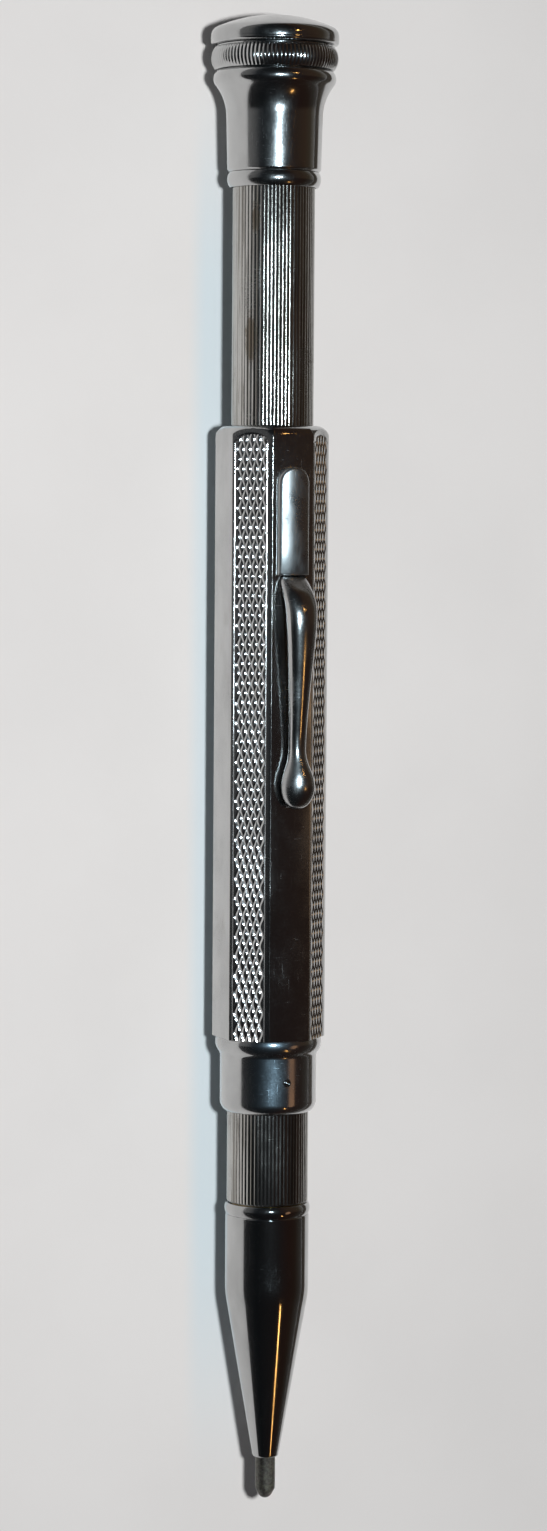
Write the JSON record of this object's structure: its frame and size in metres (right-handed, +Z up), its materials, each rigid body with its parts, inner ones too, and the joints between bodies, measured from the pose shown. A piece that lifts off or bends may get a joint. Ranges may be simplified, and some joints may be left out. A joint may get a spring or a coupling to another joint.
{
  "type": "mechanical pencil",
  "caption": "Twist-action mechanical pencil in plated metal: fluted barrel, sliding engraved octagonal sleeve with pocket clip, flared knurled cap and long cone nose with thick lead.",
  "frame": {"origin": "under the middle of the pencil's length, on the surface that the cap's rim stands on", "axes": "+Y along the pencil from the lead to the cap, +Z up through the clip, +X across"},
  "size_m": [0.0126, 0.1482, 0.0145],
  "materials": {
    "tube_plate": "polished nickel plate, lightly tarnished",
    "brass_works": "turned, unplated",
    "spring_steel": "drawn tube and wire",
    "nose_plate": "bright polished plate",
    "graphite": "graphite, slight grey sheen",
    "cap_plate": "bright polished plate",
    "sleeve_plate": "bright polished plate",
    "clip_plate": "bright polished plate"
  },
  "bodies": {
    "barrel": {"fluted_tube": "tube_plate", "rear_bush": "brass_works", "friction_washer": "spring_steel", "nose_bush": "brass_works", "guide_tube": "brass_works", "nose_ring": "nose_plate", "nose_cone": "nose_plate", "tip_sleeve": "brass_works"},
    "lead_unit": {"lead": "graphite", "lead_carrier": "brass_works", "push_rod": "spring_steel", "slider": "brass_works", "drive_pin": "spring_steel"},
    "cap": {"spiral_sleeve": "brass_works", "magazine_tube": "brass_works", "magazine_floor": "brass_works", "spare_leads": "graphite", "retaining_ring": "spring_steel", "cap_hub": "cap_plate", "knurled_ring": "cap_plate", "cap_skirt": "cap_plate", "cap_hem": "cap_plate"},
    "magazine_plug": {"cap_dome": "cap_plate", "plug_stem": "brass_works"},
    "sleeve": {"octagonal_sleeve": "sleeve_plate", "sleeve_collar": "sleeve_plate", "collar_stud": "sleeve_plate", "friction_spring": "spring_steel", "clip_boss": "clip_plate", "clip_root": "clip_plate"},
    "clip": {"clip_arm": "clip_plate"}
  },
  "joints": [
    {"name": "sleeve_slide", "type": "slide", "parent": "barrel", "child": "sleeve", "axis": [0, -1, 0], "range_m": [-0.0232, 0.009]},
    {"name": "cap_twist", "type": "hinge", "parent": "barrel", "child": "cap", "pos_m": [0, 0.0651, 0.00634], "axis": [0, -1, 0], "range_deg": [-144, 1080]},
    {"name": "lead_feed", "type": "slide", "parent": "barrel", "child": "lead_unit", "axis": [0, -1, 0], "range_m": [-0.004, 0.03]},
    {"name": "plug_lift", "type": "slide", "parent": "cap", "child": "magazine_plug", "axis": [0, 1, 0], "range_m": [0, 0.02]},
    {"name": "clip_flex", "type": "hinge", "parent": "sleeve", "child": "clip", "pos_m": [0, 0.01907, 0.01185], "axis": [-1, 0, 0], "range_deg": [0, 5], "stiffness_Nm_per_rad": 1.5}
  ],
  "couplings": [
    {"joint": "cap_twist", "follows": "lead_feed", "rad_per_m": 628.32}
  ]
}
